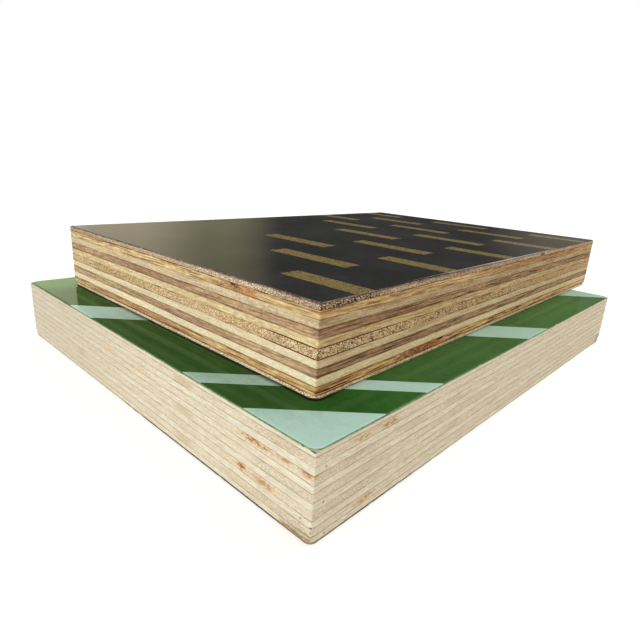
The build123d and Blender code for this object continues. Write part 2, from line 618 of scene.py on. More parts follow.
# %% [markdown]
# A few marks have a place of their own: a knot, a resin pocket, rusty stains where bark tannin has bled,
# small dark dots. Each is a blot, an uneven ellipsoid in the wood with a middle, three radii in
# millimetres, a colour, a strength and a raggedness. Its core is the share that is solid, and a speckled
# one is broken into strokes. As the blot lies in space and not on one face, it wraps round a corner as a
# stain does. The marks of a layer are listed as rows: the face, the distance from the near corner and so on
# for the middle, then the rest of the blot.

# %% Blots
Blot = namedtuple(
    "Blot", "middle radii colour strength ragged core speckled", defaults=(0.8, 1.6, 0.55, False))
BLOT_EDGES = (Noise(0.35, 1.2, 9.0, 3.0), Noise(1.5, 4.0, 9.5, 3.0))
STROKES = Noise(1.3, 3.2, 8.2, 3.0, (0.38, 0.54))


def blotted(colour, node, marks, seed):
    """Lays the marks of one layer over its colour."""
    place = vectors("MULTIPLY", object_place(colour.tree), PER_MM)
    for count, (middle, *rest) in enumerate(marks):
        blot = Blot(edge_point(node, *middle), *rest)
        off = vectors("SUBTRACT", place, blot.middle)
        reach = vectors("LENGTH", vectors("MULTIPLY", off, [1 / radius for radius in blot.radii]))
        for noise in BLOT_EDGES:
            reach = swing(place, noise, seed + count) * blot.ragged + reach
        amount = band(reach, 1.0, blot.core) * blot.strength
        if blot.speckled:
            amount = amount * grain(place, STROKES, seed + count)
        colour = tint(amount, colour, srgb(*blot.colour))
    return colour


print("a blot has", ", ".join(Blot._fields))

# %% [markdown]
# These steps make one finish for each veneer. Sawn wood is dull, so the roughness is high and the
# reflection weak. The bump lowers the cut vessels and ripples the fibres; it is in proportion to real wood,
# less than a tenth of a millimetre, because a stronger one would look like bark. Every look starts from
# plain cream wood: its tones, how strong streaks, flecks and glue lines are, and the side factor that
# darkens its long walls, partly painted shade and partly browner wood.

# %% Veneer finish
PLAIN_LOOK = dict(
    pale=(236, 221, 180), deep=(216, 196, 152), streak=(196, 166, 118), streaks=0.3, gleam=(246, 234, 200),
    gleams=0.3, thread=(150, 112, 76), threads=0.15, gains=(0.85, 1.5), fineness=1.0, fibres=0.18,
    hair=(1.6, 2.1), tear=(196, 168, 122), tears=0.12, chip=(248, 238, 212), chips=0.1, fleck_scale=1.0,
    nets=(), pores=0.3, border=0.0, glue=(104, 62, 44), glue_below=0.5, glue_above=0.5, glue_width=0.17,
    glue_thin=0.2, grip=(0.4, 0.62), jag=0.16, seams_below=(), seams_above=(), side=(1.0, 1.0, 1.0),
)
WOOD_ROUGHNESS = 0.78
WOOD_SHINE = 0.18
PORE_DEPTH = 0.08 * MM
RIPPLE, RIPPLE_SHARE = Noise(0.9, 3.2, 12.0, 4.0), 0.8
SIDE_DEPTH, SIDE_FULL = 0.35, 0.35 / 3
TONE_SEED_STEP = 3.7


def bumped(height, strength, depth):
    """The normal of a surface that is pressed to a height, a share of a depth in metres."""
    return field(height.tree, "ShaderNodeBump", {"Strength": strength, "Distance": depth, "Height": height})


def veneer_finish(node, look, marks, glue_seeds):
    """The sawn edge of one veneer. Its two glue lines have a seed each, shared with the neighbours."""
    material, tree, shader = new_material(f"{node}_wood")
    place = vectors("MULTIPLY", object_place(tree), PER_MM)
    seed = glue_seeds["above"] * TONE_SEED_STEP
    half_width = halves(node)[0]
    sideways = maths("ABSOLUTE", parts(own_place(tree, node))[0])
    at_side = band(sideways, half_width - SIDE_DEPTH, half_width - SIDE_FULL)
    colour = wood_tones(place, look, seed, at_side)
    colour, vessels = flecked(place, colour, look, seed, node, at_side)
    colour = blotted(colour, node, marks, seed)
    colour = glued(place, colour, look, glue_seeds, node, at_side)
    height = grain(place, RIPPLE, seed) * RIPPLE_SHARE - vessels
    # The side factor darkens the side walls: partly painted shade, for walls that the lamps light less, and
    # partly their browner wood.
    connect(shader, {
        "Base Color": tint(at_side, colour, (*look["side"], 1.0), "MULTIPLY"),
        "Normal": bumped(height, look["pores"], PORE_DEPTH),
        "Roughness": WOOD_ROUGHNESS,
        "Specular IOR Level": WOOD_SHINE,
    })
    return material


print("veneer finish ready")

# %% [markdown]
# The upper sheet is pressed from mixed woods, and its edges are striped: flecked beige on the outside,
# streaky orange under it, cream and brown in turn, and an open-pored veneer in the middle. Each look below
# says only how a veneer departs from the one it is made from. Its side factor makes the walls at the sides
# browner and darker: partly painted shade, since the lamps light them less, and partly their browner wood.

# %% Upper veneers: outer looks
MIXED = dict(PLAIN_LOOK, side=(0.85, 0.76, 0.66), glue=(104, 50, 40))
FLECKED_BEIGE = dict(
    MIXED, side=(0.86, 0.8, 0.71), pale=(250, 234, 196), deep=(234, 212, 168), tear=(176, 138, 106),
    tears=0.35, chip=(255, 248, 232), chips=0.7, pores=0.6, fleck_scale=1.5, glue_below=0.95,
    glue_above=0.75, grip=(0.3, 0.55),
    nets=(
        Net((106, 70, 46), (1.8, 1.6), 0.18, 0.85, (0.75, 1.0)),
        Net((56, 38, 28), (1.5, 1.7), 0.18, 0.95, patches=(("right", 4, 19),)),
        Net((96, 58, 46), (2.5, 2.2), 0.16, 0.6, patches=(("front", 0, 14),)),
    ),
)
BACK_BEIGE = dict(
    FLECKED_BEIGE, side=(0.95, 0.87, 0.72), pale=(255, 243, 200), deep=(254, 229, 178), tears=0.1,
    glue_above=0.95,
    nets=(Net((108, 62, 36), (1.6, 1.5), 0.11, 0.75, (0.75, 1.0)),),
)
ORANGE = dict(
    MIXED, pale=(243, 220, 161), deep=(225, 191, 125), streak=(164, 108, 66), streaks=0.5,
    gleam=(252, 234, 178), gleams=0.45, thread=(116, 60, 36), threads=0.8, gains=(0.9, 0.85), fineness=1.1,
    fibres=0.45, hair=(0.35, 2.2), tears=0.0, glue_below=0.8, glue_above=0.9,
)
DEEP_ORANGE = dict(
    ORANGE, pale=(252, 220, 156), deep=(234, 188, 122), streak=(166, 96, 50), streaks=0.45,
    gleam=(255, 228, 164), thread=(104, 48, 28), threads=0.85, gains=(0.9, 1.2), border=0.5,
    glue=(120, 58, 38), glue_below=0.95, glue_above=0.85, grip=(0.34, 0.56),
)
print(len(FLECKED_BEIGE["nets"]), "nets on the face veneer")

# %% Upper veneers: inner looks
BROWN = dict(
    MIXED, side=(0.78, 0.71, 0.62), pale=(218, 184, 141), deep=(196, 159, 119), streak=(130, 92, 70),
    streaks=0.4, gleam=(222, 192, 148), thread=(80, 50, 40), threads=0.55, fineness=1.3, fibres=0.46,
    hair=(0.6, 2.6), tears=0.0, chip=(218, 190, 150), chips=0.15, border=0.45, glue=(84, 48, 40),
    glue_below=0.75, glue_above=0.9,
)
LIGHT_BROWN = dict(BROWN, pale=(228, 194, 148), deep=(204, 168, 124))
PALE_PINK = dict(
    MIXED, side=(0.74, 0.67, 0.57), pale=(233, 214, 174), deep=(214, 190, 148), streak=(184, 150, 112),
    threads=0.32, fibres=0.34, hair=(1.4, 2.8), tears=0.2,
)
YELLOW_CREAM = dict(
    MIXED, side=(0.79, 0.71, 0.62), pale=(240, 221, 168), deep=(229, 206, 152), streak=(206, 164, 92),
    streaks=0.35, threads=0.25, fineness=1.2, fibres=0.4, hair=(0.6, 2.8), glue_below=0.95,
    seams_below=(("front", 3, 14), ("right", 8, 22)),
)
OPEN_PORED = dict(
    MIXED, pale=(244, 223, 174), deep=(230, 202, 147), streaks=0.15, tear=(176, 122, 64), tears=0.4,
    chip=(255, 242, 210), chips=0.6, pores=0.65, fleck_scale=1.25, glue_below=0.9, glue_above=0.95,
    seams_above=(("front", 3, 14), ("right", 8, 22)), seams_below=(("front", 3, 16), ("right", 4, 14)),
    nets=(
        Net((150, 98, 48), (1.6, 0.9), 0.15, 0.9, (0.7, 1.0), bare=(("front", 0, 12), ("right", 30, 70))),
        Net((84, 56, 40), (1.5, 0.8), 0.11, 0.85,
            patches=(("right", 8, 30), ("right", 36, 28), ("right", 64, 30))),
        Net((104, 60, 42), (2.3, 1.8), 0.12, 0.8, patches=(("front", 2, 13),)),
    ),
)
CREAM = dict(
    MIXED, side=(0.78, 0.7, 0.6), pale=(245, 230, 189), deep=(238, 221, 178), gleams=0.15, fibres=0.24,
    hair=(1.2, 2.8), glue_above=0.9, seams_above=(("front", 3, 16), ("right", 4, 14)),
)
LIGHT_CREAM = dict(
    MIXED, pale=(255, 243, 203), deep=(250, 234, 190), streaks=0.2, threads=0.1, fibres=0.25,
    hair=(1.2, 2.8),
)
UPPER_LOOKS = [
    FLECKED_BEIGE, ORANGE, PALE_PINK, BROWN, YELLOW_CREAM, OPEN_PORED, CREAM, LIGHT_BROWN, LIGHT_CREAM,
    DEEP_ORANGE, BACK_BEIGE,
]
print(len(UPPER_LOOKS), "looks for the upper sheet")

# %% [markdown]
# The knot, the resin pocket and the dark spot lie where the sawn edges show them, counted from the top
# veneer. Wide weak blots are the stretches where a veneer is browner or paler than the rest of it.

# %% Upper veneers: marks
RUST, KNOT, EMBER, EMBER_PALE = (166, 98, 54), (58, 34, 20), (206, 150, 92), (240, 208, 156)
RUSSET, UMBER, PEARL, SPOT = (150, 94, 56), (112, 76, 54), (200, 186, 178), (96, 66, 46)
TANNED, RESIN, BURNT = (150, 108, 66), (190, 98, 44), (104, 52, 28)
FLAME, RESIN_HIGHLIGHT, PITCH = (244, 132, 50), (252, 206, 164), (46, 26, 16)
UPPER_MARKS = {
    0: [
        (("right", 104), (2.6, 2.6, 0.5), SPOT),
        (("front", 54), (28.0, 3.0, 3.0), TANNED, 0.25, 0.7, 0.3),
    ],
    1: [
        (("right", 104), (64.0, 64.0, 3.0), RUSSET, 0.5, 0.7, 0.3),
        (("front", 21.5), (7.0, 7.0, 1.6), EMBER, 0.45, 1.8, 0.2),
        (("front", 21), (6.0, 6.0, 1.2), RUST, 0.7, 1.6, 0.3, True),
        (("front", 28), (4.5, 4.5, 0.9), RUST, 0.6, 1.8, 0.3, True),
        (("front", 24.2, 0.7), (1.2, 1.2, 0.55), KNOT, 0.9, 1.2, 0.4),
        (("front", 23.4, 0.2), (2.0, 2.0, 0.8), KNOT, 0.7, 2.0, 0.4, True),
        (("front", 28.5, -0.5), (2.0, 2.0, 0.4), KNOT, 0.6, 1.6, 0.4, True),
    ],
    2: [(("front", 19.3, 0.6), (0.4, 0.4, 0.7), EMBER, 0.5, 0.8)],
    3: [
        (("right", 28, -0.4), (5.0, 5.0, 0.7), RUST, 0.6, 1.8, 0.2, True),
        (("front", 58), (24.0, 24.0, 3.0), UMBER, 0.36, 0.7, 0.3),
        (("right", 14), (3.0, 42.0, 3.0), UMBER, 0.3, 0.7, 0.3),
    ],
    7: [
        (("front", 60), (26.0, 26.0, 3.0), UMBER, 0.2, 0.7, 0.3),
        (("right", 16), (3.0, 48.0, 3.0), UMBER, 0.28, 0.7, 0.3),
    ],
    9: [
        (("right", 142), (3.0, 44.0, 3.0), EMBER_PALE, 0.4, 0.6, 0.3),
        (("front", 66), (36.0, 36.0, 3.0), RUSSET, 0.5, 0.7, 0.3),
        (("right", 38), (14.0, 14.0, 2.4), RESIN, 0.55, 0.9, 0.1),
        (("right", 34), (14.0, 14.0, 1.2), BURNT, 0.8, 1.4, 0.3, True),
        (("right", 43.5), (3.6, 3.6, 1.0), FLAME, 0.8, 1.6, 0.2, True),
        # A painted highlight: the pale spot stands for the shine of the resin pocket.
        (("right", 46.5), (3.6, 3.6, 1.0), RESIN_HIGHLIGHT, 0.8, 1.8, 0.2, True),
        (("right", 43.4, 0.7), (2.0, 2.0, 0.45), PITCH, 0.95, 1.0),
        (("right", 51, -0.5), (3.4, 3.4, 0.5), KNOT, 0.8, 1.4, 0.3, True),
    ],
    10: [(("right", 104, -0.4), (3.0, 64.0, 0.35), PEARL, 0.8, 0.5, 0.5)],
}
print(sum(map(len, UPPER_MARKS.values())), "marks on the upper veneers")

# %% [markdown]
# The lower sheet is one pale wood throughout. Its veneers differ only in how they were laid: the crossbands
# and the centre show open pores, the longbands run smooth, and thin grey-brown glue lines part them all.
# The pores show on the front of one such veneer and on the right of the next.

# %% Lower veneers: looks
LONGBAND = dict(
    PLAIN_LOOK, pale=(238, 229, 203), deep=(230, 220, 191), streak=(208, 188, 152), streaks=0.2,
    gleam=(250, 243, 224), gleams=0.2, thread=(176, 146, 110), threads=0.16, gains=(0.9, 1.1), fibres=0.22,
    hair=(0.55, 3.0), tear=(208, 186, 150), tears=0.05, chip=(252, 247, 234), chips=0.06,
    glue=(124, 86, 62), glue_below=0.8, glue_above=0.8, glue_width=0.1, glue_thin=0.36, jag=0.07,
    side=(0.985, 0.96, 0.94),
)
CROSSBAND = dict(
    LONGBAND, pale=(236, 224, 197), deep=(227, 212, 181), tears=0.15, chips=0.22, pores=0.7,
    fleck_scale=2.2, fibres=0.24, hair=(2.0, 2.4),
)
PORES = Net((178, 144, 108), (2.2, 1.8), 0.08, 0.45, (0.0, 0.1))
FRONT_POROUS, RIGHT_POROUS = (
    dict(CROSSBAND, nets=(PORES._replace(patches=(patch,)),))
    for patch in (("front", 5, 13), ("right", 6, 15)))
LOWER_LOOKS = 2 * [LONGBAND, FRONT_POROUS, LONGBAND, RIGHT_POROUS] + [LONGBAND, FRONT_POROUS, LONGBAND]
print(len(LOWER_LOOKS), "looks for the lower sheet")

# %% [markdown]
# Rusty stains sit in two of the crossbands on each visible edge, small dots along the near corner, and the
# lowest veneers are soiled there. The far end of the front wall is a little greyer and darker, a painted
# shade for the light that falls off there, and the far right corner of the lowest veneers is darker at its
# foot. A mark that recurs has a function of its own, which gives the rows for it.

# %% Lower veneers: marks
STAIN, DOT, SOIL, FAR_FOOT_GREY = (162, 98, 52), (150, 104, 70), (166, 142, 104), (150, 140, 128)
DULL, AMBER, BLEED = (186, 178, 158), (222, 186, 118), (232, 200, 138)
CRUMB, TAN = (74, 54, 38), (196, 176, 136)
BLEED_SHARE, STROKES_SHARE = 0.7, 0.55


def stain(face, from_corner, length, lift=0.0, strength=0.8):
    """A rusty stain: dark strokes in the middle, with a paler bleed round them."""
    middle, bled, stroked = (face, from_corner, lift), length * BLEED_SHARE, length * STROKES_SHARE
    return [
        (middle, (bled, bled, 0.95), BLEED, strength * 0.8, 1.7, 0.2),
        (middle, (stroked, stroked, 0.8), STAIN, strength, 1.7, 0.3, True),
    ]


def dot(face, from_corner):
    """A pin-sized brown dot."""
    return [((face, from_corner), (0.32, 0.32, 0.28), DOT, 0.7, 0.3)]


def shade(face, from_corner, reach, strength=0.45):
    """A stretch where a veneer is a little darker."""
    return [((face, from_corner), (reach, reach, 1.6), TAN, strength, 0.9, 0.2)]


def bleed(face, from_corner, length):
    """A faint yellowish stain."""
    return [((face, from_corner), (length, length, 0.9), AMBER, 0.5, 2.2, 0.1)]


def crumb(from_corner, lift, radii):
    """Dirt on the front wall."""
    return [(("front", from_corner, lift), radii, CRUMB, 0.85, 0.9)]


LOWER_MARKS = {
    0: crumb(0.5, 0.4, (0.7, 0.4, 0.14)) + crumb(2.8, 0.4, (0.35, 0.4, 0.18)),
    1: shade("front", 37, 5, 0.6) + shade("right", 15, 9, 0.35)
    + stain("right", 11.5, 5, strength=0.5) + stain("right", 19.5, 5, strength=0.7),
    2: dot("right", 2.6),
    3: shade("right", 42, 6) + shade("right", 27, 7, 0.3) + stain("front", 14.5, 9, 0.3, 1.0)
    + stain("front", 6.5, 4, 0.5) + stain("front", 1.5, 4, 0.5)
    + bleed("front", 71, 5) + bleed("front", 54.5, 4),
    5: shade("front", 37, 5, 0.6) + shade("right", 12, 8, 0.3),
    6: dot("right", 2.5) + shade("front", 112, 20, 0.3),
    7: shade("right", 43, 5) + shade("front", 89, 3.5, 0.6)
    + stain("front", 17.8, 3, 0.1, 0.95) + stain("front", 11.5, 8, -0.1, 0.65),
    8: dot("front", 2.5) + crumb(0.2, -0.6, (0.4, 0.4, 0.25)),
    9: shade("front", 37, 5, 0.6) + stain("right", 13.5, 6, strength=0.65)
    + [(("front", 1.0, -0.7), (3.0, 1.2, 0.3), SOIL)] + crumb(0.15, 0.1, (0.2, 0.2, 0.4)),
    10: dot("right", 3.2) + [
        (("front", 2.5, -0.2), (8.0, 2.4, 1.4), SOIL, 0.85, 1.2, 0.1),
        (("front", 4.0, -0.3), (3.4, 1.6, 0.5), CRUMB, 0.7, 2.0, 0.3, True),
    ] + crumb(0.2, 0.35, (0.9, 0.4, 0.25)),
}
# Painted shade: the far end of the front wall is greyer and darker, where the light falls off.
FAR_END_PAINTED_SHADE = (("front", 118), (75.0, 75.0, 3.0), DULL, 0.34, 0.5, 0.2)
# The far right corner of the lowest veneers is darker at its foot.
FAR_FOOT_DARKER = (("right", 155.5), (3.0, 5.0, 2.5), FAR_FOOT_GREY, 0.6, 0.8, 0.2)
FIRST_DARKER_FOOT = 9
for ply in range(len(LOWER_LOOKS)):
    darker_feet = [FAR_FOOT_DARKER] if ply >= FIRST_DARKER_FOOT else []
    LOWER_MARKS[ply] = LOWER_MARKS.get(ply, []) + [FAR_END_PAINTED_SHADE] + darker_feet
print(sum(map(len, LOWER_MARKS.values())), "marks on the lower veneers")

# %% [markdown]
# Each veneer is now pressed. The outermost glue lines stay straight, because the film is flat there. The
# woods of the upper sheet are softer in turns and waver more, so its waves are larger.

# %% Press the veneers
VENEER_SPACING = 0.6 * MM
VENEER_ROWS = 5
VENEER_CAP_SHARE = 0.96
WAVES = {"lower": 0.12 * MM, "upper": 0.3 * MM}
RELIEF = 0.03 * MM
CORNER_WEAR = 0.1 * MM
SHEET_SEEDS = {"lower": 20.0, "upper": 60.0}


def press_veneers(sheet, looks, marks):
    """Makes all the veneers of one sheet, from its top face down."""
    nodes = sorted(node for node in layers if node.startswith(f"{sheet}_ply"))
    made = []
    for ply, (node, look) in enumerate(zip(nodes, looks)):
        seed = SHEET_SEEDS[sheet] + ply
        finish = veneer_finish(node, look, marks.get(ply, []), {"above": seed, "below": seed + 1})
        made.append(press(node, finish, {
            "Spacing": VENEER_SPACING, "Rows": VENEER_ROWS, "Cap Share": VENEER_CAP_SHARE,
            "Seed": SHEET_SEEDS[sheet], "Relief": RELIEF, "Corner Wear": CORNER_WEAR,
            "Wave Above": WAVES[sheet] if ply > 0 else 0.0, "Seed Above": seed,
            "Wave Below": WAVES[sheet] if ply < len(nodes) - 1 else 0.0, "Seed Below": seed + 1,
        }))
    return made


veneers = press_veneers("lower", LOWER_LOOKS, LOWER_MARKS) + press_veneers("upper", UPPER_LOOKS, UPPER_MARKS)
print(len(veneers), "veneers with", sum(len(piece.data.polygons) for piece in veneers), "faces")

# %% [markdown]
# The films are thin, hard and glossy. Their shine is a clear coat over a dull colour, which keeps the
# grazing reflections in hand. A pressed film is never optically flat: it shows a fine orange peel and the
# long soft waves of the veneers under it. The cut rim shows the film's core, which is paler on the green
# sheet and brown on the dark one.

# %% Film finish
FILM_ROUGHNESS, SCUFF = 0.35, 0.3
COAT_WEIGHT = 0.35
COAT_ROUGHNESS = 0.1
PEEL_HEIGHT, PEEL_STRENGTH, SWELL_SHARE = 0.02 * MM, 0.5, 4.0
THREAD_STRETCH = (0.25, 2.0, 1.0)
FILM_LIMITS, RIM_LIMITS = (0.38, 0.62), (0.85, 0.45)
CLOUDY, THREADS = Noise(0.05, 0.05, 0.0, 5.0), Noise(1.0, 1.0, 1.0, 3.0)
FLAKY, SCUFFED = Noise(1.2, 2.0, 2.0, 3.0, (0.4, 0.62)), Noise(0.2, 0.2, 6.0, 5.0)
PEEL, SWELL = Noise(0.35, 0.35, 4.0), Noise(0.03, 0.03, 5.0)


def film_finish(node, seed, design, film, threaded, core, marks):
    """A glossy film with its print. Film and core are a dark and a light tone each.

    How far it is threaded is the share that fine threads have in its shade; clouds have the rest.
    """
    material, tree, shader = new_material(f"{node}_finish")
    place = own_place(tree, node)
    threads = grain(vectors("MULTIPLY", place, THREAD_STRETCH), THREADS, seed)
    shading = threads * threaded + grain(place, CLOUDY, seed) * (1 - threaded)
    colour = tint(band(shading, *FILM_LIMITS), *(srgb(*tone) for tone in film))
    if design:
        ink, cover = design(place, node)
        colour = tint(cover, colour, srgb(*ink))
    rim_colour = tint(grain(place, FLAKY, seed), *(srgb(*tone) for tone in core))
    colour = tint(band(height_across(tree), *RIM_LIMITS), colour, rim_colour)
    colour = blotted(colour, node, marks, seed)
    # The green film gets a painted shadow along the foot of the upper sheet.
    if node == "lower_top_film":
        colour = painted_foot_shadow(colour, "upper_back_film")
    height = grain(place, SWELL, seed) * SWELL_SHARE + grain(place, PEEL, seed)
    bump = bumped(height, PEEL_STRENGTH, PEEL_HEIGHT)
    connect(shader, {
        "Base Color": colour,
        "Roughness": grain(place, SCUFFED, seed) * SCUFF + FILM_ROUGHNESS,
        "Specular IOR Level": 0.0,
        "Normal": bump,
        "Coat Normal": bump,
        "Coat Weight": COAT_WEIGHT,
        "Coat Roughness": COAT_ROUGHNESS,
    })
    return material


print("film finish ready")

# %% [markdown]
# The dark film carries rows of short gold dashes, set like bricks in a wall. Screen ink on a hard film is
# uneven, so the dashes have ragged ends and are full of pinholes. Dividing the plane into cells with a
# modulo gives all dashes from one rule: the row number decides the shift, and the distance to the middle of
# the cell decides the ink. The print starts along a slanting line, so the front left of the film stays
# free.

# %% Gold dashes
GOLD = (140, 121, 72)
DASH_PITCH, DASH_LENGTH = 45.0, 26.0
ROW_PITCH, DASH_WIDTH = 17.0, 5.5
PRINT_SLANT, PRINT_START = 0.7, -22.0
INK_EDGE, INK_WOBBLE = 0.25, 0.6
LEAST_INK, MORE_INK = 0.2, 0.75
WOBBLE, PINHOLES = Noise(1.5, 1.5, 3.0, 3.0), Noise(1.8, 1.8, 7.0, 3.0, (0.34, 0.56))


def within(distance, limit, softness):
    """1 inside a distance, 0 outside."""
    return band(distance, limit + softness, limit - softness)


def gold_dashes(place, node):
    """Staggered rows of dashes. Returns the ink and its cover."""
    u, v, _ = parts(place)
    wobble = swing(place, WOBBLE) * INK_WOBBLE
    v = v + ROW_PITCH / 2
    odd_row = maths("FLOOR", v / ROW_PITCH) % 2.0
    along = (odd_row * (DASH_PITCH / 2) + u + DASH_PITCH / 2) % DASH_PITCH - DASH_PITCH / 2
    aside = v % ROW_PITCH - ROW_PITCH / 2
    cover = grain(place, PINHOLES) * MORE_INK + LEAST_INK
    for offset, size in ((along, DASH_LENGTH), (aside, DASH_WIDTH)):
        cover = cover * within(wobble + maths("ABSOLUTE", offset), size / 2, INK_EDGE)
    behind = maths("GREATER_THAN", (v - aside) * PRINT_SLANT + (u - along), PRINT_START)
    return GOLD, cover * behind


print("dashes every", DASH_PITCH, "by", ROW_PITCH, "mm")

# %% [markdown]
# The green film is printed with slanting mint stripes of three widths, which start at the near corner. The
# ink stops just short of the rim and follows its round corners. The distance from a rounded rectangle gives
# that margin with a few Math nodes. Along the foot of the upper sheet the green film is painted darker, as a
# painted shadow that is strongest at its short sides and at the near corner, and the distance from that
# sheet's outline lays it on.

# %% Mint stripes
# The second colour is the near-black of the painted shadow at the foot of the upper sheet.
MINT, FOOT_SHADOW = (179, 212, 198), (8, 14, 8)
STRIPE_PERIOD = 109.0
STRIPES = ((5.0, 15.0), (24.0, 4.5), (62.0, 10.0))
STRIPE_EDGE = 0.08
PRINT_MARGIN = 0.05
# How far the painted shadow at the foot of the upper sheet reaches, in millimetres, and how strong it is at
# the ends and the sides.
FOOT_SHADOW_REACH, SHADOWED_CORNER_REACH = 1.6, 11.0
FOOT_SHADOW_ENDS, FOOT_SHADOW_SIDES = 0.6, 0.15


def outside(place, *reaches):
    """How far a place lies outside a rectangle: along its width, along its length and straight."""
    ways = zip(parts(place), reaches)
    past = [maths("MAXIMUM", maths("ABSOLUTE", way) - reach, 0.0) for way, reach in ways]
    return past + [maths("SQRT", past[0] * past[0] + past[1] * past[1])]


def mint_stripes(place, node):
    """Broad and narrow stripes in turn. Returns the ink and its cover."""
    half_width, half_length, corner = halves(node)
    u, v, _ = parts(place)
    along = (v - u + (half_width + half_length)) * math.sqrt(0.5) % STRIPE_PERIOD
    cover = 0.0
    for middle, width in STRIPES:
        cover = maths("MAXIMUM", within(maths("ABSOLUTE", along - middle), width / 2, STRIPE_EDGE), cover)
    past_straight = outside(place, half_width - corner, half_length - corner)[2]
    return MINT, cover * within(past_straight, corner - PRINT_MARGIN, STRIPE_EDGE)


def painted_foot_shadow(colour, standing):
    """Darkens a film along the foot of the sheet that stands on it: a painted shadow."""
    half_width, half_length, corner = halves(standing)
    place = own_place(colour.tree, standing)
    _, past_end, past_straight = outside(place, half_width - corner, half_length - corner)
    amount = band(past_end, 0.0, corner) * FOOT_SHADOW_ENDS + FOOT_SHADOW_SIDES
    near_corner = (half_width, -half_length, layers[standing].bottom / MM)
    at_corner = band(vectors("DISTANCE", place, near_corner), SHADOWED_CORNER_REACH, 0.0)
    beside = band(past_straight, corner + FOOT_SHADOW_REACH, corner)
    return tint(maths("MAXIMUM", at_corner, amount) * beside, colour, srgb(*FOOT_SHADOW))


print("stripes", [width for _, width in STRIPES], "mm wide")

# %% [markdown]
# The films are pressed with the same tree as the veneers. They are smooth, so they need no relief, but
# their rims are nibbled, and the rows have to be close enough for the rounded arris. A print lies on the
# top faces only. Each film has marks of its own: soil at the near corner and rims that are worn bare, and
# painted light besides: a painted highlight along the right arris of the dark film, a painted shadow on the
# front rim of the back film near the corner, and on the green film painted shade at the front and painted
# sheen towards the far end and the right.

# %% Press the films
FILM_SPACING = 0.5 * MM
FILM_ROWS = 6
FILM_CAP_SHARE = 0.993
FILM_NIBBLE = 0.12 * MM
FINISH_SEED, FINISH_SEED_STEP, RIM_SEED = 5.0, 11.0, 90.0
DARK_FILM, DARK_CORE = ((36, 36, 35), (53, 52, 49)), ((92, 62, 50), (176, 160, 148))
GREEN_FILM, GREEN_CORE = ((30, 80, 25), (38, 91, 32)), ((84, 128, 74), (136, 172, 120))
BACK_FILM, BACK_CORE = ((46, 32, 24), (70, 52, 38)), ((46, 32, 24), (108, 86, 66))
TAN_CORE = ((118, 94, 66), (170, 146, 110))
# The second colour is a painted shadow, laid on the rim of the back film near the front corner.
BARE_RIM, RIM_PAINTED_SHADOW = (222, 206, 174), (26, 36, 22)
# A painted highlight along the right arris of the dark film.
PAINTED_ARRIS_HIGHLIGHT = [(("right", 92), (0.4, 74.0, 0.6), PEARL, 0.7, 0.3, 0.5)]
# The rim of the back film: a pearly band, a stretch worn bare, and a painted shadow near the front corner.
BACK_RIM_TONES_AND_SHADOW = [
    (("right", 104), (2.0, 64.0, 2.0), PEARL, 0.85, 0.4, 0.6),
    (("right", 34), (2.0, 24.0, 2.0), BARE_RIM, 0.7, 0.4, 0.5),
    (("front", 14), (28.0, 2.0, 2.0), RIM_PAINTED_SHADOW, 0.7, 0.6, 0.4),
]
# Painted light on the green film: the dark patch at the front is painted shade, and the pale ones towards
# the far end and at the right are painted sheen.
PAINTED_SHADE_AND_SHEEN = [
    (("front", 48, 0, 8), (52.0, 16.0, 4.0), (20, 52, 12), 0.4, 0.5, 0.2),
    (("right", 80, 0, 7), (16.0, 80.0, 4.0), (112, 150, 96), 0.2, 0.5, 0.3),
    (("right", 140, 0, 7), (16.0, 60.0, 4.0), (104, 156, 90), 0.2, 0.5, 0.3),
    (("front", 124, 0, 8), (16.0, 40.0, 4.0), (110, 176, 96), 0.3, 0.5, 0.3),
]
SOILED = [
    (("front", 2.0), (9.0, 3.0, 2.0), SOIL, 0.8, 1.4, 0.2),
    (("right", 4.0), (3.0, 8.0, 2.0), SOIL, 0.5, 1.4, 0.2),
    (("front", 96), (48.0, 3.0, 2.0), BARE_RIM, 0.75, 0.8, 0.5),
    (("right", 92), (3.0, 74.0, 2.0), BARE_RIM, 0.85, 0.8, 0.6),
]
FILMS = {
    "upper_top_film": (gold_dashes, DARK_FILM, 0.5, DARK_CORE, PAINTED_ARRIS_HIGHLIGHT),
    "upper_back_film": (None, DARK_FILM, 0.5, TAN_CORE, BACK_RIM_TONES_AND_SHADOW),
    "lower_top_film": (mint_stripes, GREEN_FILM, 0.1, GREEN_CORE, PAINTED_SHADE_AND_SHEEN),
    "lower_back_film": (None, BACK_FILM, 0.5, BACK_CORE, SOILED),
}

films = []
for count, (node, recipe) in enumerate(FILMS.items()):
    finish = film_finish(node, FINISH_SEED + FINISH_SEED_STEP * count, *recipe)
    films.append(press(node, finish, {
        "Spacing": FILM_SPACING, "Rows": FILM_ROWS, "Cap Share": FILM_CAP_SHARE, "Nibble": FILM_NIBBLE,
        "Seed": RIM_SEED + count,
    }))
print(len(films), "films with", sum(len(piece.data.polygons) for piece in films), "faces")

# %% [markdown]
# The stage is plain. The floor is pale and takes the shadow, and a little light of its own, seen by the
# camera alone, lifts it to white. The world is white to the camera and to reflections, and a softer grey to
# everything else, so it fills the shadows without washing out the wood. Each sun has a strength, a spread
# in degrees and the direction that it comes from: a wide soft key light from the camera's left, a weaker
# one from the right that keeps the shaded edges readable, and one from behind for the hidden sides.

# %% Floor
FLOOR_SIZE = 12.0
FLOOR_COLOUR, WHITE = (0.7, 0.7, 0.7, 1.0), (1.0, 1.0, 1.0, 1.0)
FLOOR_LIFT = 0.42

